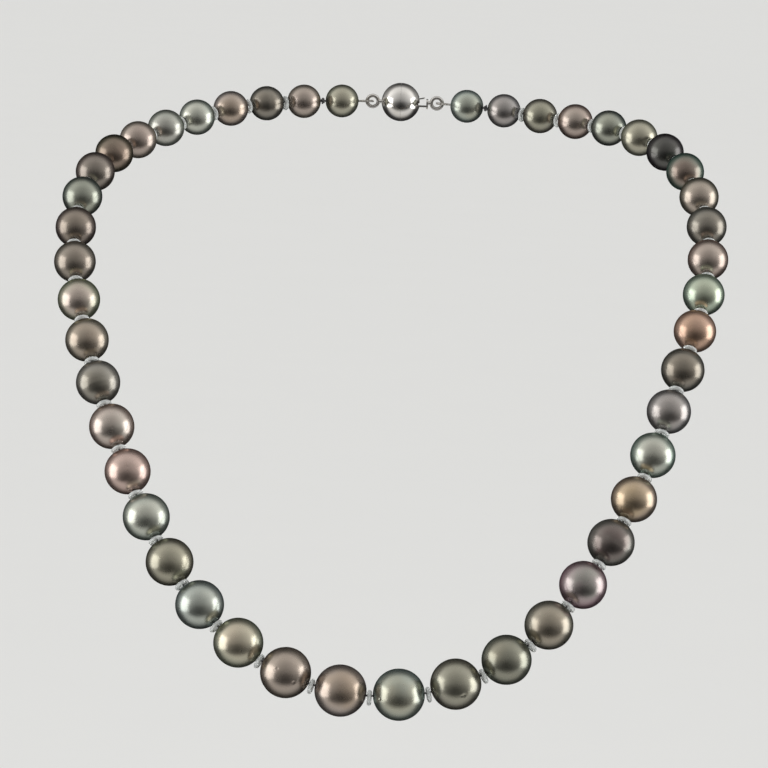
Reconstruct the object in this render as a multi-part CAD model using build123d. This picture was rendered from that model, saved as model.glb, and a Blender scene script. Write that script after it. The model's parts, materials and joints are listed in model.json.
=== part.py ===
from build123d import *
import math
import os

# Graduated pearl necklace in its worn shape: round pearls on a beading thread, clear
# silicone rings between them, and a ball clasp that closes at the nape.
# Millimetres. The clasp ball rests on the nape at the origin. +X is across the neck
# to the wearer's left, -Y is to the front and +Z is up.

# Pearls
pearl_count = 46
front_pearl_diameter = 11.2
nape_pearl_diameter = 7.8
graduation_power = 0.85
drill_hole_diameter = 1.0
drill_mouth_bevel = 0.12

# Thread, spacer rings, knots and gimp
thread_diameter = 0.5
thread_bend_share = 0.3
spacer_ring_radius = 1.2
spacer_section_radius = 0.48
knot_radius = 0.65
knot_section_radius = 0.24
knot_wrap_spacing = 0.3
gimp_diameter = 0.44
gimp_reach = 3.4
gimp_loop_half_width = 0.95
gimp_loop_corner = 0.5
gimp_in_hole = 1.2
gimp_leg_offset = 0.24

# Ball clasp, measured from the centre of the ball
ball_radius = 4.5
ball_wall = 0.5
seam_width = 0.04
ring_hole_diameter = 1.8
ring_wire_diameter = 0.8
ring_foot_radius = 0.42
ball_ring_x = -6.6
slot_width = 3.5
slot_bottom = -1.1
slot_top = 0.0
notch_width = 1.7
notch_top = 1.35
throat_radius = 2.6
throat_near_x = 2.6
throat_thickness = 0.4

# Tongue: a folded strip, a collar plate with a ring, and the spring leaf
strip_thickness = 0.2
strip_width = 2.8
fold_x = -2.6
fold_z = -0.5
fold_inner_radius = 0.22
leaf_barrel_radius = 0.15
leaf_slope = 11.3
leaf_length = 5.05
leaf_tab_width = 1.2
leaf_tab_end = 7.5
leaf_pad_length = 0.9
leaf_pad_width = 1.5
collar_x = 6.0
collar_thickness = 0.4
collar_width = 3.0
collar_height = 2.2
collar_centre_z = -0.25
tongue_ring_x = 8.45

# The worn path, from the nape by -X round to the front centre and back by +X. It lies
# a little lower on one shoulder than on the other.
worn_path = [
    (0, 4.5, 0),
    (-15, 3.1, -0.2),
    (-36.3, -5.3, -1.3),
    (-55.3, -21.4, -6.5),
    (-68.1, -44.9, -14.1),
    (-70.2, -68, -30),
    (-64.4, -86.9, -50.3),
    (-55.2, -102, -71.6),
    (-43.7, -114.6, -91.1),
    (-30.6, -122.3, -104),
    (-15.1, -126.8, -111.7),
    (0, -128.1, -114),
    (15.3, -126.9, -112),
    (30.8, -122.4, -104.2),
    (43.6, -114.8, -90.9),
    (55.1, -101.7, -71.8),
    (63.4, -86.5, -50.3),
    (69.4, -67, -31),
    (68.1, -44.9, -14),
    (55.6, -21.5, -3.9),
    (36, -5.8, -1.6),
    (15, 2.9, -0.2),
]
track_samples = 2400

ball_centre = Vector(0, ball_radius, 0)
ball_ring_centre = ball_centre + Vector(ball_ring_x, 0, 0)
tongue_ring_centre = ball_centre + Vector(tongue_ring_x, 0, 0)
ring_radius = (ring_hole_diameter + ring_wire_diameter) / 2


def pearl_diameter(number):
    """Diameter of a pearl, counted from 1 at the ball's ring to the tongue's ring."""
    middle = (pearl_count + 1) / 2
    away = abs(number - middle) / (middle - 1)
    drop = front_pearl_diameter - nape_pearl_diameter
    return round(front_pearl_diameter - drop * away**graduation_power, 1)


def worn_track():
    """Evenly spaced points along the worn path, from the nape by -X to the front and back."""
    path = Spline(*worn_path, periodic=True)
    return [path @ (i / track_samples) for i in range(track_samples + 1)]


def next_point(track, index, start, reach):
    """The first point of the track after index that is reach away from start."""
    far = (track[index] - start).length
    while index + 1 < len(track):
        near = far
        far = (track[index + 1] - start).length
        if near < reach <= far:
            share = (reach - near) / (far - near)
            return index, track[index] + (track[index + 1] - track[index]) * share
        index += 1
    return None, None


def chord_lengths(gap):
    """Distance between neighbouring bending points, one for each pearl."""
    lengths = [pearl_diameter(n) + gap for n in range(1, pearl_count + 1)]
    lengths[0] += gimp_reach - gap / 2
    lengths[-1] += gimp_reach - gap / 2
    return lengths


def walk(track, gap):
    """Bending points from the ball's ring to the last gap, or None if the path runs out."""
    points = [ball_ring_centre]
    index = 0
    for reach in chord_lengths(gap)[:-1]:
        index, point = next_point(track, index, points[-1], reach)
        if point is None:
            return None
        points.append(point)
    return points


def lay_strand():
    """The gap between pearls that closes the strand, and all its bending points."""
    track = worn_track()
    low, high = 0.5, 2.5
    for _ in range(26):
        gap = (low + high) / 2
        points = walk(track, gap)
        if points is None:
            high = gap
        elif (tongue_ring_centre - points[-1]).length < chord_lengths(gap)[-1]:
            high = gap
        else:
            low = gap
    return low, walk(track, low) + [tongue_ring_centre]


def pearl_seats(gap, points):
    """Centre and direction of each pearl."""
    seats = []
    for n in range(1, pearl_count + 1):
        start, end = points[n - 1], points[n]
        along = (end - start).normalized()
        lead = gimp_reach if n == 1 else gap / 2
        seats.append((start + along * (lead + pearl_diameter(n) / 2), along))
    return seats


def directions(points):
    """Direction of each pearl's run, and last that of the tongue."""
    runs = [(b - a).normalized() for a, b in zip(points, points[1:])]
    return runs + [Vector(-1, 0, 0)]


def opening_hinges(points):
    """Bending point, opening axis and turn in degrees, from the ball's ring on."""
    runs = directions(points)
    down = Vector(0, 0, -1)
    hinges = [(points[0], runs[0].cross(down).normalized(), runs[0].get_angle(down))]
    for point, before, after in zip(points[1:], runs, runs[1:]):
        hinges.append((point, after.cross(before).normalized(), before.get_angle(after)))
    return hinges


def pearl(number):
    """A round pearl with its drill hole along Z, worn open a little at both mouths."""
    radius = pearl_diameter(number) / 2
    hole = drill_hole_diameter / 2
    mouth = hole + drill_mouth_bevel
    mouth_z = math.sqrt(radius**2 - mouth**2)
    hole_z = mouth_z - drill_mouth_bevel
    outline = Polyline(
        (mouth, 0, -mouth_z),
        (hole, 0, -hole_z),
        (hole, 0, hole_z),
        (mouth, 0, mouth_z),
    )
    outline += ThreePointArc((mouth, 0, mouth_z), (radius, 0, 0), (mouth, 0, -mouth_z))
    return revolve(make_face(outline), Axis.Z)


def wire_ring(foot_from, foot_to):
    """A soldered wire ring about the Y axis, with its foot between two X positions."""
    foot = Plane.YZ * Cylinder(ring_foot_radius, abs(foot_to - foot_from))
    foot = Pos((foot_from + foot_to) / 2, 0, 0) * foot
    return Plane.XZ * Torus(ring_radius, ring_wire_diameter / 2) + foot


def slab(low, high):
    """A box between two corners."""
    size = [b - a for a, b in zip(low, high)]
    middle = [(a + b) / 2 for a, b in zip(low, high)]
    return Pos(*middle) * Box(*size)


def slot_prism():
    """The T-shaped way in: a wide slot for the strip and a notch above for its tab."""
    half, narrow = slot_width / 2, notch_width / 2
    slot = slab((2, -half, slot_bottom), (6, half, slot_top))
    return slot + slab((2, -narrow, slot_top), (6, narrow, notch_top))


def half_shell(side):
    """Half of the hollow ball, on the -X or +X side of its seam."""
    outer, inner = ball_radius, ball_radius - ball_wall
    seam = seam_width / 2
    outer_y = math.sqrt(outer**2 - seam**2)
    inner_y = math.sqrt(inner**2 - seam**2)
    outer_middle = outer * math.sqrt(0.5)
    inner_middle = inner * math.sqrt(0.5)
    outline = Line((side * seam, inner_y), (side * seam, outer_y))
    outline += ThreePointArc(
        (side * seam, outer_y), (side * outer_middle, outer_middle), (side * outer, 0)
    )
    outline += Line((side * outer, 0), (side * inner, 0))
    outline += ThreePointArc(
        (side * inner, 0), (side * inner_middle, inner_middle), (side * seam, inner_y)
    )
    return revolve(make_face(outline), Axis.X)


def throat():
    """Catch plate behind the slot, which the leaf's shoulders rest against."""
    plate = Plane.YZ * Cylinder(throat_radius, throat_thickness)
    return Pos(throat_near_x + throat_thickness / 2, 0, 0) * plate - slot_prism()


def tongue_base():
    """Strip with its tip curled round the leaf's barrel, and the collar plate."""
    outer = fold_inner_radius + strip_thickness
    half = strip_width / 2
    tube = Plane.XZ * Cylinder(outer, strip_width) - Plane.XZ * Cylinder(fold_inner_radius, strip_width)
    curl = Pos(fold_x, 0, fold_z) * (tube & slab((-1, -half, -1), (0, half, 1)))
    bottom = fold_z - outer
    strip = slab((fold_x, -half, bottom), (collar_x, half, bottom + strip_thickness))
    collar = Box(collar_thickness, collar_width, collar_height)
    collar = fillet(collar.edges().filter_by(Axis.X), 0.6)
    centre_x = collar_x + collar_thickness / 2
    return curl + strip + Pos(centre_x, 0, collar_centre_z) * collar


def spring_leaf():
    """Leaf with a barrel at the fold, wide shoulders, a narrow tab and a thumb pad."""
    thick = strip_thickness / 2
    wide = strip_width / 2 - 0.1
    barrel = Plane.XZ * Cylinder(leaf_barrel_radius, 2 * wide)
    blade = slab((0, -wide, -thick), (leaf_length, wide, thick))
    tab = slab((leaf_length, -leaf_tab_width / 2, -thick), (leaf_tab_end, leaf_tab_width / 2, thick))
    pad_end = leaf_tab_end + leaf_pad_length
    pad = slab((leaf_tab_end, -leaf_pad_width / 2, -thick), (pad_end, leaf_pad_width / 2, thick))
    pad = fillet(pad.edges().filter_by(Axis.Z), 0.35)
    leaf = barrel + blade + tab + pad
    return Pos(fold_x, 0, fold_z) * Rot(0, -leaf_slope, 0) * leaf


def gimp_loop(start, along, across):
    """Coiled-wire loop through a clasp ring, with both legs in the pearl's hole."""
    tips = gimp_reach + gimp_in_hole
    side = [
        (tips, gimp_leg_offset),
        (gimp_reach - 0.25, gimp_leg_offset),
        (2.1, gimp_loop_half_width),
        (0, gimp_loop_half_width),
    ]
    route = side + [(a, -b) for a, b in reversed(side)]
    route = [start + along * a + across * b for a, b in route]
    path = FilletPolyline(*route, radius=gimp_loop_corner)
    section = Plane(origin=path @ 0, z_dir=path % 0) * Circle(gimp_diameter / 2)
    return sweep(section, path)


def thread(points, seats):
    """One tube through all the pearls: straight in their holes, bending in the gaps."""
    inset = gimp_reach + gimp_in_hole + 0.2
    route = [points[0] + seats[0][1] * inset]
    route += points[1:-1]
    route += [points[-1] - seats[-1][1] * inset]
    runs = [(b - a).length for a, b in zip(route, route[1:])]
    radii = []
    for before, here, after, run in zip(route, route[1:], route[2:], zip(runs, runs[1:])):
        turn = (here - before).get_angle(after - here)
        radii.append(thread_bend_share * min(run) / math.tan(math.radians(turn / 2)))
    path = FilletPolyline(*route, radius=radii)
    section = Plane(origin=path @ 0, z_dir=path % 0) * Circle(thread_diameter / 2)
    tube = sweep(section, path)
    print("thread radii", [round(r, 1) for r in radii])
    print("thread length", round(path.length, 1))
    expected = path.length * math.pi * (thread_diameter / 2) ** 2
    print("thread volume", round(tube.volume, 3), "section times length", round(expected, 3))
    return tube


def at_gap(points, number, shape):
    """Moves a shape about Z into the gap after a pearl, square to the thread there."""
    runs = directions(points)
    middle = (runs[number - 1] + runs[number]).normalized()
    return Plane(origin=points[number], z_dir=middle) * shape


def knot():
    """A tight double wrap of the thread tail."""
    wrap = Torus(knot_radius, knot_section_radius)
    lift = knot_wrap_spacing / 2
    return Pos(0, 0, -lift) * wrap + Pos(0, 0, lift) * wrap


def clasp_pieces():
    """The clasp's pieces, measured from the ball's centre."""
    outside = Sphere(ball_radius + 0.02)
    return {
        "clasp_ball_ring_side": half_shell(-1),
        "clasp_ball_slot_side": half_shell(1) - slot_prism(),
        "clasp_throat": throat(),
        "clasp_ball_ring": Pos(ball_ring_x, 0, 0) * wire_ring(ring_radius, 2.6) - outside,
        "clasp_tongue": tongue_base(),
        "clasp_tongue_ring": Pos(tongue_ring_x, 0, 0)
        * wire_ring(-ring_radius, collar_x + collar_thickness - tongue_ring_x),
        "clasp_spring_leaf": spring_leaf(),
    }


def main():
    gap, points = lay_strand()
    seats = pearl_seats(gap, points)
    print("gap between pearls", round(gap, 3))
    print("strand", round(sum((b - a).length for a, b in zip(points, points[1:])), 1))
    print("bends", [round(turn, 1) for _, _, turn in opening_hinges(points)])
    pieces = {}
    for number, (centre, along) in enumerate(seats, 1):
        place = Plane(origin=centre, z_dir=along)
        pieces[f"pearl_{number:02d}"] = place * pearl(number)
    pieces["beading_thread"] = thread(points, seats)
    spacer = Torus(spacer_ring_radius, spacer_section_radius)
    gaps = range(2, pearl_count - 1)
    pieces["spacer_rings"] = Compound([at_gap(points, n, spacer) for n in gaps])
    pieces["knot_ball_end"] = at_gap(points, 1, knot())
    pieces["knot_tongue_end"] = at_gap(points, pearl_count - 1, knot())
    pieces["gimp_ball_end"] = gimp_loop(points[0], seats[0][1], opening_hinges(points)[0][1])
    pieces["gimp_tongue_end"] = gimp_loop(points[-1], -seats[-1][1], Vector(0, 1, 0))
    for name, shape in clasp_pieces().items():
        pieces[name] = Pos(*ball_centre) * shape
    os.makedirs("parts", exist_ok=True)
    for name, shape in pieces.items():
        export_step(shape, f"parts/{name}.step")
    print(len(pieces), "pieces")


if __name__ == "__main__":
    main()
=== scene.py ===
# Graduated dark pearl necklace with a ball clasp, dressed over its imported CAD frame.
import math

import bmesh
import bpy
from mathutils import Matrix, Vector, noise
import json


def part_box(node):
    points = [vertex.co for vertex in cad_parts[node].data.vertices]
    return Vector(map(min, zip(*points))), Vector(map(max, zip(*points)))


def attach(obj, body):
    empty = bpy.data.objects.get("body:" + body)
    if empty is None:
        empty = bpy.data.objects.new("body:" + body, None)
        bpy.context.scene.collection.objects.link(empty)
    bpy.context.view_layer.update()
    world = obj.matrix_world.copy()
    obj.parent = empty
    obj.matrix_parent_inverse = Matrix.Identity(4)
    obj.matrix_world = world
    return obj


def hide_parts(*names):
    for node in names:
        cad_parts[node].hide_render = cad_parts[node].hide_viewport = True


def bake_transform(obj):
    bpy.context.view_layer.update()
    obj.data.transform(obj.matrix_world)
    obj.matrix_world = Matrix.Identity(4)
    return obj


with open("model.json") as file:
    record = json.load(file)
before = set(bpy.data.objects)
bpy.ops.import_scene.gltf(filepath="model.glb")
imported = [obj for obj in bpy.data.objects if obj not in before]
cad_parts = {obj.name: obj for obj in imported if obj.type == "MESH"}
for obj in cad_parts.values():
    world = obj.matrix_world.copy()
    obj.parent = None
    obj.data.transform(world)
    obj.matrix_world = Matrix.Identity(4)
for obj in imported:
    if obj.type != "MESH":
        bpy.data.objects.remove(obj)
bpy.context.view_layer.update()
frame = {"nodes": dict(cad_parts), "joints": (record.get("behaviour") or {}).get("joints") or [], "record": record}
mm = 0.001
pearlCount = 46
behaviour = frame["record"]["behaviour"]
bodyOf = {node: body for body, nodes in behaviour["bodies"].items() for node in nodes}
hingeAt = {joint["name"]: Vector(joint["pos_m"]) for joint in frame["joints"]}


def pearlName(number):
    return f"pearl_{number:02d}"


def sectionOf(number):
    return bodyOf[pearlName(number)]


def middleOf(node):
    low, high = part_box(node)
    return (low + high) / 2


def widthOf(node):
    low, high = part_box(node)
    return high.x - low.x


centres = [middleOf(pearlName(n)) for n in range(1, pearlCount + 1)]
radii = [widthOf(pearlName(n)) / 2 for n in range(1, pearlCount + 1)]
cutGaps = {int(name[4:6]): name for name in hingeAt if name.startswith("gap_")}
cutGaps[23] = "front_opening"
gapPoints = [hingeAt["strand_hang"]]  # one point in each gap, where the thread bends
halfGap = (hingeAt["gap_05_opening"] - centres[4]).length - radii[4]
for n in range(1, pearlCount):
    along = (centres[n - 1] - gapPoints[-1]).normalized()
    if n in cutGaps:
        gapPoints.append(hingeAt[cutGaps[n]])
    else:
        gapPoints.append(centres[n - 1] + along * (radii[n - 1] + halfGap))
gapPoints.append(hingeAt["tongue_swing"])
holeAxes = [(centres[n] - gapPoints[n]).normalized() for n in range(pearlCount)]
print("half gap", round(halfGap / mm, 3), "mm")


class Wire:  # a shader socket whose Python operators add Math nodes
    def __init__(self, tree, socket):
        self.tree, self.socket = tree, socket

    def joined(self, operation, first, second=None):
        return self.tree.add("Math", {"operation": operation}, {0: first, 1: second})

    def __add__(self, other):
        return self.joined("ADD", self, other)

    def __sub__(self, other):
        return self.joined("SUBTRACT", self, other)

    def __rsub__(self, other):
        return self.joined("SUBTRACT", other, self)

    def __mul__(self, other):
        return self.joined("MULTIPLY", self, other)

    def __truediv__(self, other):
        return self.joined("DIVIDE", self, other)

    def __rtruediv__(self, other):
        return self.joined("DIVIDE", other, self)

    def __pow__(self, other):
        return self.joined("POWER", self, other)

    __radd__ = __add__
    __rmul__ = __mul__


class Recipe:  # one node tree, emptied and built up with add()
    def __init__(self, owner):
        owner.use_nodes = True
        self.nodes, self.links = owner.node_tree.nodes, owner.node_tree.links
        self.nodes.clear()

    def add(self, kind, settings=None, values=None, output=0):
        node = self.nodes.new("ShaderNode" + kind)
        for key, value in (settings or {}).items():
            if key == "stops":
                ramp = node.color_ramp.elements
                while len(ramp) < len(value):
                    ramp.new(0.5)
                for stop, (place, colour) in zip(ramp, value):
                    stop.position, stop.color = place, (*colour, 1)
            else:
                setattr(node, key, value)
        for key, value in (values or {}).items():
            if value is None:
                continue
            if isinstance(value, Wire):
                self.links.new(value.socket, node.inputs[key])
            elif isinstance(value, tuple) and node.inputs[key].type == "RGBA":
                node.inputs[key].default_value = (*value, 1)
            else:
                node.inputs[key].default_value = value
        return Wire(self, node.outputs[output]) if node.outputs else None

    def mixed(self, share, first, second):  # of two colours
        return self.add("Mix", {"data_type": "RGBA"}, {0: share, 6: first, 7: second}, 2)

    def between(self, value, low, high):  # smooth step from 0 to 1
        settings = {"interpolation_type": "SMOOTHSTEP"}
        return self.add("MapRange", settings, {0: value, 1: low, 2: high})

    def place(self):  # Object coordinates
        return self.add("TexCoord", output=3)

    def noise(self, place, scale, detail=2.0, rough=0.5):
        values = {"Vector": place, "Scale": scale, "Detail": detail, "Roughness": rough}
        return self.add("TexNoise", None, values)

    def bump(self, height, distance, normal=None):
        values = {"Strength": 1.0, "Distance": distance, "Height": height, "Normal": normal}
        return self.add("Bump", None, values)

    def finish(self, values):
        surface = self.add("BsdfPrincipled", None, values)
        self.add("OutputMaterial", None, {"Surface": surface})


def newMaterial(name):
    material = bpy.data.materials.new(name)
    return material, Recipe(material)


# Each finish: colour of the body, overtone seen at a slant, and tint of the far edge.
nacreFinishes = {
    "doveGreen": ((0.42, 0.41, 0.37), (0.38, 0.42, 0.37), (0.2, 0.2, 0.18)),
    "taupeRose": ((0.4, 0.33, 0.29), (0.4, 0.36, 0.31), (0.2, 0.18, 0.16)),
    "oliveTaupe": ((0.26, 0.2, 0.16), (0.11, 0.11, 0.08), (0.15, 0.14, 0.1)),
    "pinkTaupe": ((0.25, 0.22, 0.19), (0.18, 0.15, 0.14), (0.16, 0.13, 0.12)),
    "tealSilver": ((0.38, 0.39, 0.32), (0.15, 0.17, 0.16), (0.1, 0.18, 0.16)),
    "darkCocoa": ((0.27, 0.23, 0.19), (0.19, 0.16, 0.15), (0.14, 0.12, 0.11)),
    "warmBronze": ((0.29, 0.25, 0.21), (0.25, 0.24, 0.21), (0.15, 0.13, 0.1)),
    "pistachioRose": ((0.47, 0.4, 0.35), (0.36, 0.41, 0.29), (0.16, 0.2, 0.14)),
    "oliveBronze": ((0.37, 0.3, 0.24), (0.34, 0.32, 0.27), (0.16, 0.15, 0.1)),
    "steelGreen": ((0.26, 0.24, 0.2), (0.34, 0.33, 0.31), (0.12, 0.14, 0.13)),
    "roseGold": ((0.49, 0.45, 0.4), (0.46, 0.37, 0.33), (0.24, 0.17, 0.11)),
    "roseSilver": ((0.52, 0.4, 0.35), (0.52, 0.39, 0.35), (0.22, 0.14, 0.13)),
    "seafoam": ((0.53, 0.53, 0.46), (0.35, 0.4, 0.36), (0.14, 0.2, 0.18)),
    "oliveGreen": ((0.37, 0.35, 0.27), (0.26, 0.25, 0.21), (0.12, 0.13, 0.08)),
    "blueSilver": ((0.44, 0.46, 0.41), (0.3, 0.35, 0.34), (0.12, 0.17, 0.18)),
    "olivePink": ((0.51, 0.45, 0.35), (0.36, 0.39, 0.31), (0.16, 0.17, 0.1)),
    "roseBrown": ((0.39, 0.33, 0.28), (0.34, 0.3, 0.26), (0.16, 0.12, 0.09)),
    "roseTaupe": ((0.4, 0.32, 0.25), (0.43, 0.39, 0.37), (0.17, 0.13, 0.11)),
    "paleSage": ((0.4, 0.39, 0.31), (0.38, 0.46, 0.44), (0.13, 0.17, 0.14)),
    "warmOlive": ((0.33, 0.32, 0.25), (0.3, 0.29, 0.25), (0.13, 0.12, 0.09)),
    "forestGrey": ((0.28, 0.26, 0.2), (0.27, 0.3, 0.26), (0.11, 0.13, 0.09)),
    "sandGrey": ((0.33, 0.29, 0.23), (0.3, 0.3, 0.26), (0.13, 0.12, 0.09)),
    "lavenderGreen": ((0.3, 0.3, 0.27), (0.44, 0.3, 0.34), (0.2, 0.12, 0.14)),
    "aubergine": ((0.16, 0.13, 0.12), (0.31, 0.32, 0.29), (0.12, 0.09, 0.1)),
    "bronzeGold": ((0.49, 0.38, 0.25), (0.35, 0.3, 0.27), (0.18, 0.13, 0.08)),
    "mintSilver": ((0.47, 0.47, 0.41), (0.31, 0.41, 0.36), (0.13, 0.19, 0.15)),
    "violetGrey": ((0.35, 0.32, 0.3), (0.34, 0.34, 0.34), (0.15, 0.13, 0.14)),
    "deepGreen": ((0.25, 0.22, 0.18), (0.22, 0.22, 0.2), (0.11, 0.12, 0.1)),
    "copperRose": ((0.48, 0.32, 0.23), (0.51, 0.36, 0.29), (0.24, 0.13, 0.09)),
    "mintGreen": ((0.46, 0.5, 0.39), (0.28, 0.37, 0.31), (0.14, 0.2, 0.15)),
    "dustyRose": ((0.44, 0.38, 0.33), (0.34, 0.26, 0.23), (0.2, 0.14, 0.13)),
    "lightTaupe": ((0.49, 0.41, 0.35), (0.23, 0.22, 0.18), (0.17, 0.15, 0.12)),
    "peacock": ((0.24, 0.19, 0.16), (0.14, 0.26, 0.22), (0.08, 0.19, 0.16)),
    "charcoalPlum": ((0.1, 0.1, 0.09), (0.08, 0.07, 0.08), (0.08, 0.07, 0.08)),
    "oliveGrey": ((0.4, 0.38, 0.3), (0.37, 0.38, 0.31), (0.16, 0.17, 0.12)),
}
strandOrder = (
    "oliveGrey taupeRose deepGreen roseTaupe seafoam "
    "doveGreen taupeRose oliveTaupe pinkTaupe tealSilver darkCocoa warmBronze pistachioRose "
    "oliveBronze steelGreen roseGold roseSilver seafoam oliveGreen blueSilver olivePink "
    "roseBrown roseTaupe paleSage warmOlive forestGrey sandGrey lavenderGreen aubergine "
    "bronzeGold mintSilver violetGrey deepGreen copperRose mintGreen dustyRose deepGreen "
    "lightTaupe peacock charcoalPlum oliveGrey "
    "tealSilver dustyRose warmOlive violetGrey paleSage"
).split()
nacreLook = {
    "metal": 0.95, "roughness": 0.28, "roughnessSpread": 0.05, "roughnessScale": 900.0,
    "coat": 0.2, "coatRoughness": 0.2, "coatIor": 1.53,
    "slant": 0.42, "slantRange": (0.05, 0.75), "slantShare": 0.8,
    "cloudScale": 110.0, "cloudRange": (0.38, 0.66), "cloudShare": 0.35,
    "mottleScale": 1300.0, "mottleDepth": 0.10,
    "grainScale": 5200.0, "grainHeight": 0.000004, "waveScale": 420.0, "waveHeight": 0.00003,
}


def makeNacre(name):
    body, overtone, edge = nacreFinishes[name]
    look = nacreLook
    material, recipe = newMaterial("nacre_" + name)
    place = recipe.place()
    clouds = recipe.between(recipe.noise(place, look["cloudScale"], 3.0), *look["cloudRange"])
    slant = recipe.add("LayerWeight", None, {"Blend": look["slant"]}, 1)
    share = recipe.between(slant, *look["slantRange"]) * look["slantShare"] + clouds * look["cloudShare"]
    mottle = recipe.noise(place, look["mottleScale"], 4.0, 0.6) * look["mottleDepth"]
    mottle = mottle + (1 - look["mottleDepth"] / 2)
    colour = recipe.mixed(share, body, overtone)
    shaded = recipe.add("VectorMath", {"operation": "SCALE"}, {0: colour, "Scale": mottle})
    rough = recipe.noise(place, look["roughnessScale"]) * look["roughnessSpread"]
    rough = rough + (look["roughness"] - look["roughnessSpread"] / 2)
    waves = recipe.bump(recipe.noise(place, look["waveScale"], 1.5), look["waveHeight"])
    grain = recipe.bump(recipe.noise(place, look["grainScale"], 3.0), look["grainHeight"], waves)
    recipe.finish({
        "Base Color": shaded, "Metallic": look["metal"], "Roughness": rough, "Normal": grain,
        "Specular Tint": edge, "Coat Weight": look["coat"],
        "Coat Roughness": look["coatRoughness"], "Coat IOR": look["coatIor"]})
    return material


nacre = {name: makeNacre(name) for name in nacreFinishes}
print("nacre finishes:", len(nacre))


metalLook = {
    "colour": (0.74, 0.72, 0.69), "wornShare": (0.86, 0.82, 0.74),
    "hairlineScale": 2600.0, "hairlineStretch": (1.0, 6.0, 1.0),
    "hairlineRoughness": 0.06, "hairlineHeight": 0.000002,
    "filmScale": 380.0, "filmRange": (0.45, 0.8), "filmRoughness": 0.12,
    # roughness and tarnish of each metal
    "polished": (0.13, 0.35), "spring": (0.24, 0.7), "coiled": (0.2, 0.6),
}


def makeWhiteGold(name, roughness, tarnish):
    look = metalLook
    material, recipe = newMaterial(name)
    place = recipe.place()
    stretched = recipe.add("Mapping", None, {0: place, 3: look["hairlineStretch"]})
    hairlines = recipe.noise(stretched, look["hairlineScale"], 3.0, 0.7)
    film = recipe.between(recipe.noise(place, look["filmScale"], 3.0), *look["filmRange"])
    worn = tuple(c * k for c, k in zip(look["colour"], look["wornShare"]))
    colour = recipe.mixed(film * tarnish, look["colour"], worn)
    rough = roughness + hairlines * look["hairlineRoughness"] + film * (look["filmRoughness"] * tarnish)
    bump = recipe.bump(hairlines, look["hairlineHeight"])
    recipe.finish({"Base Color": colour, "Metallic": 1.0, "Roughness": rough, "Normal": bump})
    return material


siliconeLook = {
    "colour": (0.90, 0.92, 0.91), "ior": 1.41, "roughness": 0.34, "clear": 0.6,
    "hazeScale": 1500.0, "hazeShade": 0.86, "hazeRoughness": 0.12, "hazeHeight": 0.00002,
}


def makeSilicone():
    look = siliconeLook
    material, recipe = newMaterial("clearSilicone")
    haze = recipe.noise(recipe.place(), look["hazeScale"])
    bump = recipe.bump(haze, look["hazeHeight"])
    tone = recipe.mixed(haze, look["colour"], tuple(c * look["hazeShade"] for c in look["colour"]))
    rough = haze * look["hazeRoughness"] + look["roughness"]
    recipe.finish({
        "Base Color": tone, "Roughness": rough, "IOR": look["ior"],
        "Transmission Weight": look["clear"], "Normal": bump})
    return material


silkLook = {
    "colour": (0.035, 0.033, 0.036), "fleck": (0.10, 0.095, 0.10), "roughness": 0.42, "sheen": 0.5,
    "fibreScale": 9000.0, "fibreRoughness": 0.25, "fibreHeight": 0.00001,
}


def makeSilk():
    look = silkLook
    material, recipe = newMaterial("charcoalSilk")
    fibres = recipe.noise(recipe.place(), look["fibreScale"], 3.0, 0.7)
    colour = recipe.mixed(fibres ** 2, look["colour"], look["fleck"])
    bump = recipe.bump(fibres, look["fibreHeight"])
    rough = fibres * look["fibreRoughness"] + look["roughness"]
    recipe.finish({"Base Color": colour, "Roughness": rough, "Sheen Weight": look["sheen"], "Normal": bump})
    return material


whiteGold = makeWhiteGold("polishedWhiteGold", *metalLook["polished"])
springGold = makeWhiteGold("springWhiteGold", *metalLook["spring"])
coilSilver = makeWhiteGold("coiledSilverWire", *metalLook["coiled"])
silicone = makeSilicone()
silk = makeSilk()
print("clasp, ring and thread materials ready")


def turnedTo(along):  # turns +Z to a direction
    return along.to_track_quat("Z", "Y").to_matrix().to_4x4()


thinPieceAngle = 80.0  # only sharper edges than this show on thread, wire and rings


def circle(bm, sides, radius):
    return bmesh.ops.create_circle(bm, segments=sides, radius=radius)["verts"]


def turnedRound(bm, edges, steps, rise=0.0):  # one turn about Z, which may climb
    bmesh.ops.spin(bm, geom=edges, cent=(0, 0, 0), axis=(0, 0, 1), angle=math.tau,
                   dvec=(0, 0, rise / steps), steps=steps, use_merge=rise == 0)


def setUpright(bm, verts, out):  # stands a section up on the XZ plane, some way out from Z
    bmesh.ops.rotate(bm, verts=verts, cent=(0, 0, 0), matrix=Matrix.Rotation(math.radians(90), 3, "X"))
    bmesh.ops.translate(bm, verts=verts, vec=(out, 0, 0))


def asObject(name, bm, material, sharpAbove=35.0):
    for face in bm.faces:
        face.smooth = True
    for edge in bm.edges:
        edge.smooth = len(edge.link_faces) != 2 or edge.calc_face_angle(0) < math.radians(sharpAbove)
    mesh = bpy.data.meshes.new(name)
    bm.to_mesh(mesh)
    bm.free()
    mesh.materials.append(material)
    piece = bpy.data.objects.new(name, mesh)
    bpy.context.scene.collection.objects.link(piece)
    return piece


def ringEdges(bm, side):  # open edges on one side of the XY plane
    return [e for e in bm.edges if e.is_boundary and (e.verts[0].co.z > 0) == (side > 0)]


pearlForm = {
    "sides": 64, "rows": 40, "holeRadius": 0.5 * mm, "mouthRadius": 0.63 * mm, "mouthDepth": 0.12 * mm,
    "unevenness": 0.016, "driftScale": 0.9, "driftStep": 3.7,
    "waviness": 0.0025, "rippleScale": 3.1, "rippleStep": 5.3,
    "growthDepth": 0.006, "growthWidth": 0.06,
    "pitWidth": 0.26 * mm, "pitDepth": 0.07 * mm, "pitReach": 3.2, "pitCuts": 3,
    "backPits": 4, "backPitLean": 0.55, "backPitSize": 0.6, "backPitStep": 0.25,
}
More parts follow.
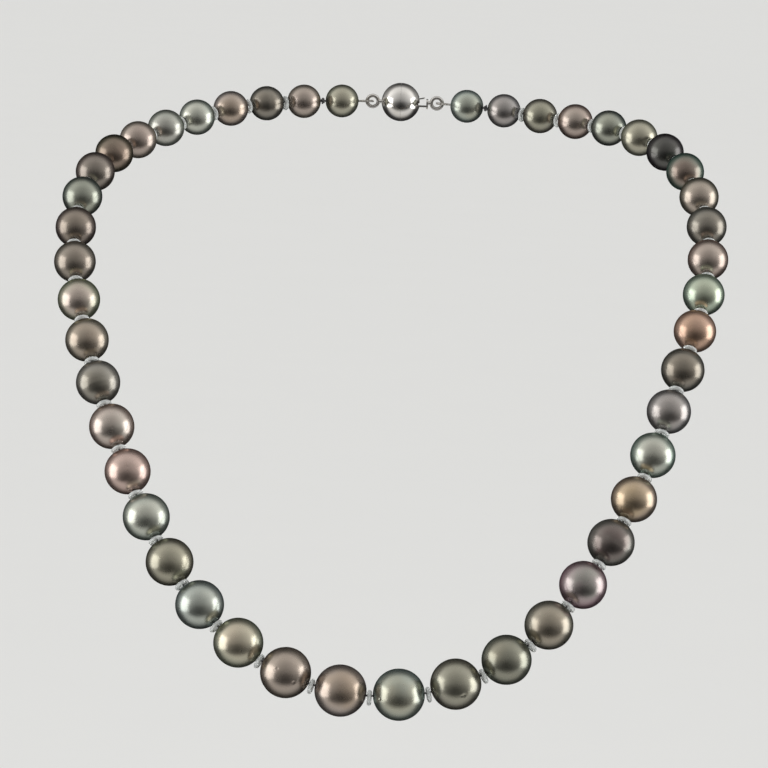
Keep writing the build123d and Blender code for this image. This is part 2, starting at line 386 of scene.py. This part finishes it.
# Rings and pits that growth left in some pearls: along the hole from -1 to 1, and where
# a pit lies as a direction from the pearl's middle with its size.
growthRings = {
    3: (-0.35, 0.1), 8: (0.45,), 15: (0.3, 0.52), 22: (-0.5,), 29: (-0.2,), 33: (0.35,), 40: (0.15, -0.3),
}
knownPits = {
    22: [((-0.30, -0.88, 0.34), 1.0), ((0.34, -0.90, -0.18), 1.3), ((-0.42, -0.86, 0.24), 0.7)],
    24: [((-0.72, -0.68, -0.05), 1.2), ((-0.60, -0.80, -0.1), 0.6)],
    25: [((0.34, -0.90, -0.24), 1.5), ((0.24, -0.93, -0.27), 0.8)],
    16: [((0.10, -0.99, 0.1), 0.6)],
    17: [((0.05, -0.93, 0.36), 0.7), ((0.2, -0.95, -0.2), 0.5)],
}


def pearlPits(number):
    form = pearlForm
    pits = list(knownPits.get(number, []))
    for k in range(number % form["backPits"]):  # a few more on the back and sides
        across, up = noise.noise(Vector((number, k, 0.5))), noise.noise(Vector((0.5, k, number)))
        swing = Vector((across, form["backPitLean"], up))
        pits.append((swing.normalized(), form["backPitSize"] + form["backPitStep"] * k))
    return [(Vector(where).normalized(), size) for where, size in pits]


def surfaceScale(number, way, height):  # how far the skin stands in from the round size
    form = pearlForm
    drift = noise.noise(way * form["driftScale"] + Vector((number * form["driftStep"], 0, 0)))
    ripple = noise.noise(way * form["rippleScale"] + Vector((0, number * form["rippleStep"], 0)))
    scale = 1 - form["unevenness"] * (0.5 + 0.5 * drift) - form["waviness"] * (0.5 + 0.5 * ripple)
    for ring in growthRings.get(number, ()):
        scale -= form["growthDepth"] * math.exp(-((height - ring) / form["growthWidth"]) ** 2)
    return scale


def makePearl(number):
    form, radius = pearlForm, radii[number - 1]
    turn = turnedTo(holeAxes[number - 1])
    bm = bmesh.new()
    bmesh.ops.create_uvsphere(bm, u_segments=form["sides"], v_segments=form["rows"], radius=radius)
    poles = [v for v in bm.verts if abs(v.co.z) > radius * 0.99999]
    bmesh.ops.delete(bm, geom=poles, context="VERTS")
    toLocal = turn.to_3x3().inverted()
    pits = [(toLocal @ where, size) for where, size in pearlPits(number)]
    for where, size in pits:  # finer skin around each pit
        reach = form["pitReach"] * size * form["pitWidth"]
        near = [e for e in bm.edges if all((v.co - where * radius).length < reach for v in e.verts)]
        if near:
            bmesh.ops.subdivide_edges(bm, edges=near, cuts=form["pitCuts"], use_grid_fill=True)
    for vert in bm.verts:
        way = vert.co.normalized()
        depth = 0.0
        for where, size in pits:
            away = (way - where).length * radius / (size * form["pitWidth"])
            depth += size * form["pitDepth"] * math.exp(-away ** 2)
        vert.co = way * (radius * surfaceScale(number, way, way.z) - depth)
    mouths = []
    for side in (1, -1):  # countersunk mouth of the drill hole
        rim = ringEdges(bm, side)
        for vert in {v for e in rim for v in e.verts}:
            height = math.sqrt(vert.co.length ** 2 - form["mouthRadius"] ** 2)
            flat = Vector((vert.co.x, vert.co.y, 0)).normalized() * form["mouthRadius"]
            vert.co = Vector((flat.x, flat.y, side * height))
        grown = bmesh.ops.extrude_edge_only(bm, edges=rim)["geom"]
        inner = [v for v in grown if isinstance(v, bmesh.types.BMVert)]
        shrink = form["holeRadius"] / form["mouthRadius"]
        bmesh.ops.scale(bm, verts=inner, vec=(shrink, shrink, 1))
        bmesh.ops.translate(bm, verts=inner, vec=(0, 0, -side * form["mouthDepth"]))
        mouths += [e for e in grown if isinstance(e, bmesh.types.BMEdge)]
    bmesh.ops.bridge_loops(bm, edges=mouths)
    bmesh.ops.recalc_face_normals(bm, faces=bm.faces)
    bm.transform(Matrix.Translation(centres[number - 1]) @ turn)
    piece = asObject(f"nacre_pearl_{number:02d}", bm, nacre[strandOrder[number - 1]])
    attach(piece, sectionOf(number))
    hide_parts(pearlName(number))


for n in range(1, pearlCount + 1):
    makePearl(n)
print("pearls made:", pearlCount)


ringForm = {
    "ringRadius": 1.2 * mm, "sectionRadius": 0.46 * mm, "sides": 40, "sectionSides": 14,
    "seamHeight": 0.018 * mm, "hang": 0.35 * mm,
}


def threadWay(number):  # the thread's direction in the middle of a gap
    return (holeAxes[number - 1] + holeAxes[number]).normalized()


def makeClearRing(number):
    form = ringForm
    bm = bmesh.new()
    section = circle(bm, form["sectionSides"], form["sectionRadius"])
    outermost = max(section, key=lambda v: v.co.x)
    outermost.co.x += form["seamHeight"]  # mould line round the outside
    setUpright(bm, section, form["ringRadius"])
    turnedRound(bm, bm.edges[:], form["sides"])
    bmesh.ops.remove_doubles(bm, verts=bm.verts, dist=0.001 * mm)
    bmesh.ops.recalc_face_normals(bm, faces=bm.faces)
    thread = threadWay(number)
    down = Vector((0, 0, -1))
    hang = (down - thread * down.dot(thread)) * form["hang"]  # loose rings sit low on the thread
    bm.transform(Matrix.Translation(gapPoints[number] + hang) @ turnedTo(thread))
    piece = asObject(f"clear_ring_{number:02d}", bm, silicone, thinPieceAngle)
    seatAcrossGap(piece, number)
    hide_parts("spacer_rings")


def seatAcrossGap(piece, number):  # rides on its section, or stays unattached in place where the gap holds a hinge
    before, after = sectionOf(number), sectionOf(number + 1)
    if before == after:
        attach(piece, before)
    else:
        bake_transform(piece)


for n in range(2, pearlCount - 1):
    makeClearRing(n)
print("clear rings made:", pearlCount - 3)


threadForm = {
    "plyRadius": 0.125 * mm, "plyOffset": 0.125 * mm, "plies": 3, "plySides": 7,
    "pitch": 1.1 * mm, "stepsPerTurn": 9, "bendReach": 0.5 * mm, "endInset": 4.8 * mm,
}


def stacked(bm, period, count):  # repeats a piece of twist or coil along Z
    first = bm.verts[:] + bm.edges[:] + bm.faces[:]
    for k in range(1, count):
        copy = bmesh.ops.duplicate(bm, geom=first)["geom"]
        moved = [v for v in copy if isinstance(v, bmesh.types.BMVert)]
        bmesh.ops.translate(bm, verts=moved, vec=(0, 0, period * k))
    bmesh.ops.remove_doubles(bm, verts=bm.verts, dist=0.0005 * mm)


def trimmed(bm, length):  # cuts off what is past a length and closes both ends
    everything = bm.verts[:] + bm.edges[:] + bm.faces[:]
    bmesh.ops.bisect_plane(bm, geom=everything, plane_co=(0, 0, length), plane_no=(0, 0, 1),
                           clear_outer=True)
    closed(bm)


def closed(bm):  # closes open ends and turns every face outwards
    bmesh.ops.holes_fill(bm, edges=[e for e in bm.edges if e.is_boundary])
    bmesh.ops.recalc_face_normals(bm, faces=bm.faces)


def twistedRope(length, form):
    bm = bmesh.new()
    for ply in range(form["plies"]):
        loop = circle(bm, form["plySides"], form["plyRadius"])
        bmesh.ops.translate(bm, verts=loop, vec=(form["plyOffset"], 0, 0))
        bmesh.ops.rotate(bm, verts=loop, cent=(0, 0, 0),
                         matrix=Matrix.Rotation(math.tau * ply / form["plies"], 3, "Z"))
        edges = list({e for v in loop for e in v.link_edges})
        turnedRound(bm, edges, form["stepsPerTurn"], form["pitch"])
    stacked(bm, form["pitch"], math.ceil(length / form["pitch"]))
    trimmed(bm, length)
    return bm


def laidAlong(name, bm, route, material):  # bends a straight piece on +Z along a line
    line = bpy.data.curves.new(name + "_line", "CURVE")
    line.dimensions = "3D"
    spline = line.splines.new("NURBS")
    spline.points.add(len(route) - 1)
    for point, place in zip(spline.points, route):
        point.co = (*place, 1)
    spline.order_u, spline.use_endpoint_u, spline.resolution_u = 3, True, 16
    line.use_stretch = line.use_deform_bounds = True
    guide = bpy.data.objects.new(line.name, line)
    bpy.context.scene.collection.objects.link(guide)
    piece = asObject(name, bm, material, thinPieceAngle)
    bend = piece.modifiers.new("bend", "CURVE")
    bend.object, bend.deform_axis = guide, "POS_Z"
    graph = bpy.context.evaluated_depsgraph_get()
    bent = bpy.data.meshes.new_from_object(piece.evaluated_get(graph))
    bent.name = name
    piece.modifiers.clear()
    piece.data = bent
    bpy.data.objects.remove(guide)
    return piece


def routeLength(route):
    return sum((b - a).length for a, b in zip(route, route[1:]))


def threadRoute(first, last):  # from the middle of one pearl to the middle of another
    reach = threadForm["bendReach"]
    route = [centres[first - 1]]
    for n in range(first, last):
        bend = gapPoints[n]
        route += [bend - holeAxes[n - 1] * reach, bend + holeAxes[n] * reach, centres[n]]
    return route


def makeThread():
    firsts = [1] + [n + 1 for n in sorted(cutGaps)]
    lasts = sorted(cutGaps) + [pearlCount]
    for first, last in zip(firsts, lasts):
        route = threadRoute(first, last)
        if first == 1:
            route.insert(0, gapPoints[0] + holeAxes[0] * threadForm["endInset"])
        if last == pearlCount:
            route.append(gapPoints[-1] - holeAxes[-1] * threadForm["endInset"])
        bm = twistedRope(routeLength(route), threadForm)
        piece = laidAlong(f"thread_pearls_{first:02d}_{last:02d}", bm, route, silk)
        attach(piece, sectionOf(first))
        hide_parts("beading_thread")
    for n in sorted(cutGaps):
        route = threadRoute(n, n + 1)
        bm = twistedRope(routeLength(route), threadForm)
        piece = laidAlong(f"thread_bend_{n:02d}", bm, route, silk)
        seatAcrossGap(piece, n)
        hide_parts("beading_thread")


makeThread()
print("thread made")


knotForm = {
    "windRadius": 0.40 * mm, "swell": 0.25 * mm, "depth": 0.2 * mm, "points": 36,
    "plyRadius": 0.11 * mm, "plyOffset": 0.105 * mm,
}


def makeKnot(node, number):
    form = knotForm
    place = Matrix.Translation(gapPoints[number]) @ turnedTo(threadWay(number))
    route = []
    for k in range(form["points"] + 1):  # the tail's way round and through itself
        t = math.tau * k / form["points"]
        out = form["windRadius"] + form["swell"] * math.cos(3 * t)
        lift = form["depth"] * math.sin(3 * t)
        route.append(place @ Vector((out * math.cos(2 * t), out * math.sin(2 * t), lift)))
    bm = twistedRope(routeLength(route), {**threadForm, **form})
    piece = laidAlong(node.replace("knot", "tied_knot"), bm, route, silk)
    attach(piece, bodyOf[node])
    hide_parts(node)


makeKnot("knot_ball_end", 1)
makeKnot("knot_tongue_end", pearlCount - 1)
print("knots made")


gimpForm = {
    "coilRadius": 0.165 * mm, "wireRadius": 0.055 * mm, "pitch": 0.13 * mm,
    "wireSides": 6, "stepsPerTurn": 12,
    # half of the loop in mm: from its turn towards the pearl, and off its middle line
    "outline": [(4.6, 0.24), (3.45, 0.24), (2.85, 0.36), (2.3, 0.81), (1.8, 0.95), (0.45, 0.95),
                (0.02, 0.85), (0.0, 0.45)],
}


def makeGimp(node, start, along, across):
    form = gimpForm
    side = [(a * mm, b * mm) for a, b in form["outline"]]
    route = side + [(a, -b) for a, b in reversed(side)]
    route = [start + along * a + across * b for a, b in route]
    bm = bmesh.new()
    setUpright(bm, circle(bm, form["wireSides"], form["wireRadius"]), form["coilRadius"])
    turnedRound(bm, bm.edges[:], form["stepsPerTurn"], form["pitch"])
    stacked(bm, form["pitch"], round(routeLength(route) / form["pitch"]))
    closed(bm)
    piece = laidAlong(node.replace("gimp", "gimp_coil"), bm, route, coilSilver)
    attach(piece, bodyOf[node])
    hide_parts(node)


hangAxis = Vector(next(j["axis"] for j in frame["joints"] if j["name"] == "strand_hang"))
makeGimp("gimp_ball_end", gapPoints[0], holeAxes[0], hangAxis)
makeGimp("gimp_tongue_end", gapPoints[-1], -holeAxes[-1], Vector((0, 1, 0)))
print("gimp coils made")


claspFinish = {
    "clasp_ball_ring_side": whiteGold, "clasp_ball_slot_side": whiteGold, "clasp_ball_ring": whiteGold,
    "clasp_throat": springGold, "clasp_tongue": springGold, "clasp_tongue_ring": whiteGold,
    "clasp_spring_leaf": springGold,
}
for node, material in claspFinish.items():
    piece = frame["nodes"][node]
    piece.data.materials.clear()
    piece.data.materials.append(material)
print("clasp finished")


studio = {
    "floorDrop": 0.66, "floorSize": 60.0, "floorColour": (0.80, 0.80, 0.79),
    "floorShade": 0.985, "floorScale": 9.0, "floorRoughness": 0.9,
    "pale": (0.92, 0.92, 0.91), "roomTint": (1.0, 0.99, 0.97), "roomTilt": 9.0,
    "sideLift": 0.5, "sideRange": (-0.6, 0.1),
    # the room's brightness by how far round from the front it lies, in degrees, up positive
    "roomLevels": [
        (-140, 0.02), (-106, 0.05), (-92, 0.32), (-78, 0.66), (-53, 0.84), (-40, 0.44), (-30, 0.04),
        (-8, 0.02), (7, 0.07), (22, 0.28), (38, 0.43), (62, 0.60), (85, 0.86), (109, 0.86),
        (123, 0.35), (142, 0.05)],
    "middle": (0, -0.06, -0.07), "boxDistance": 1.25,
    # direction from the middle, power, width and height
    "leftBox": ((-0.96, -0.269, 0.02), 7.0, 1.01, 1.08),
    "rightBox": ((0.995, -0.06, 0.0), 7.5, 0.86, 1.08),
    "lens": 216.6, "cameraPlace": (0.00913, -1.07921, 0.09212), "cameraTurn": (81.639, -2.047, 0.866),
    "sensor": 36.0, "clipEnd": 200.0,
}


def makeFloor():
    bm = bmesh.new()
    bmesh.ops.create_grid(bm, x_segments=4, y_segments=4, size=studio["floorSize"] / 2)
    bmesh.ops.translate(bm, verts=bm.verts, vec=(0, 0, -studio["floorDrop"]))
    material, recipe = newMaterial("paleFloor")
    shade = tuple(c * studio["floorShade"] for c in studio["floorColour"])
    tone = recipe.mixed(recipe.noise(recipe.place(), studio["floorScale"], 3.0), studio["floorColour"], shade)
    recipe.finish({"Base Color": tone, "Roughness": studio["floorRoughness"]})
    floor = asObject("pale_floor", bm, material)
    floor.visible_glossy = False  # the room has its own floor light for reflections


def makeCamera():
    camera = bpy.data.objects.new("camera", bpy.data.cameras.new("camera"))
    camera.location = studio["cameraPlace"]
    camera.rotation_euler = [math.radians(a) for a in studio["cameraTurn"]]
    camera.data.lens, camera.data.sensor_width = studio["lens"], studio["sensor"]
    camera.data.clip_end = studio["clipEnd"]
    bpy.context.scene.collection.objects.link(camera)
    bpy.context.scene.camera = camera


def makeSoftbox(name, way, power, width, height):
    light = bpy.data.lights.new(name, "AREA")
    light.shape, light.size, light.size_y, light.energy = "RECTANGLE", width, height, power
    lamp = bpy.data.objects.new(name, light)
    way = Vector(way).normalized()
    place = Vector(studio["middle"]) + way * studio["boxDistance"]
    lamp.matrix_world = Matrix.Translation(place) @ turnedTo(way)
    lamp.visible_camera = False
    bpy.context.scene.collection.objects.link(lamp)


def makeRoom():  # reflections see a graded room, everything else an even pale one
    world = bpy.data.worlds.new("studio")
    bpy.context.scene.world = world
    recipe = Recipe(world)
    way = recipe.add("TexCoord", output=0)
    turn = Matrix.Rotation(math.radians(studio["roomTilt"]), 3, "X")

    def part(direction):
        return recipe.add("VectorMath", {"operation": "DOT_PRODUCT"}, {0: way, 1: tuple(direction)}, 1)

    front = part(turn @ Vector((0, -1, 0)))
    up = part(turn @ Vector((0, 0, 1)))
    across = part(Vector((1, 0, 0)))
    climb = up.joined("ARCTAN2", up, front) / math.tau + 0.5
    stops = [(place / 360 + 0.5, (level, level, level)) for place, level in studio["roomLevels"]]
    level = recipe.add("ValToRGB", {"stops": stops}, {0: climb})
    level = level + across ** 2.0 * recipe.between(up, *studio["sideRange"]) * studio["sideLift"]
    soft = recipe.add("Background", None, {"Color": studio["roomTint"], "Strength": level})
    pale = recipe.add("Background", None, {"Color": studio["pale"], "Strength": 1.0})
    mirrored = recipe.add("LightPath", output=3)
    both = recipe.add("MixShader", None, {0: mirrored, 1: pale, 2: soft})
    recipe.add("OutputWorld", None, {"Surface": both})


makeFloor()
makeCamera()
makeSoftbox("left_softbox", *studio["leftBox"])
makeSoftbox("right_softbox", *studio["rightBox"])
makeRoom()
bpy.context.scene.view_settings.view_transform = "Standard"
print("floor, light and camera ready")
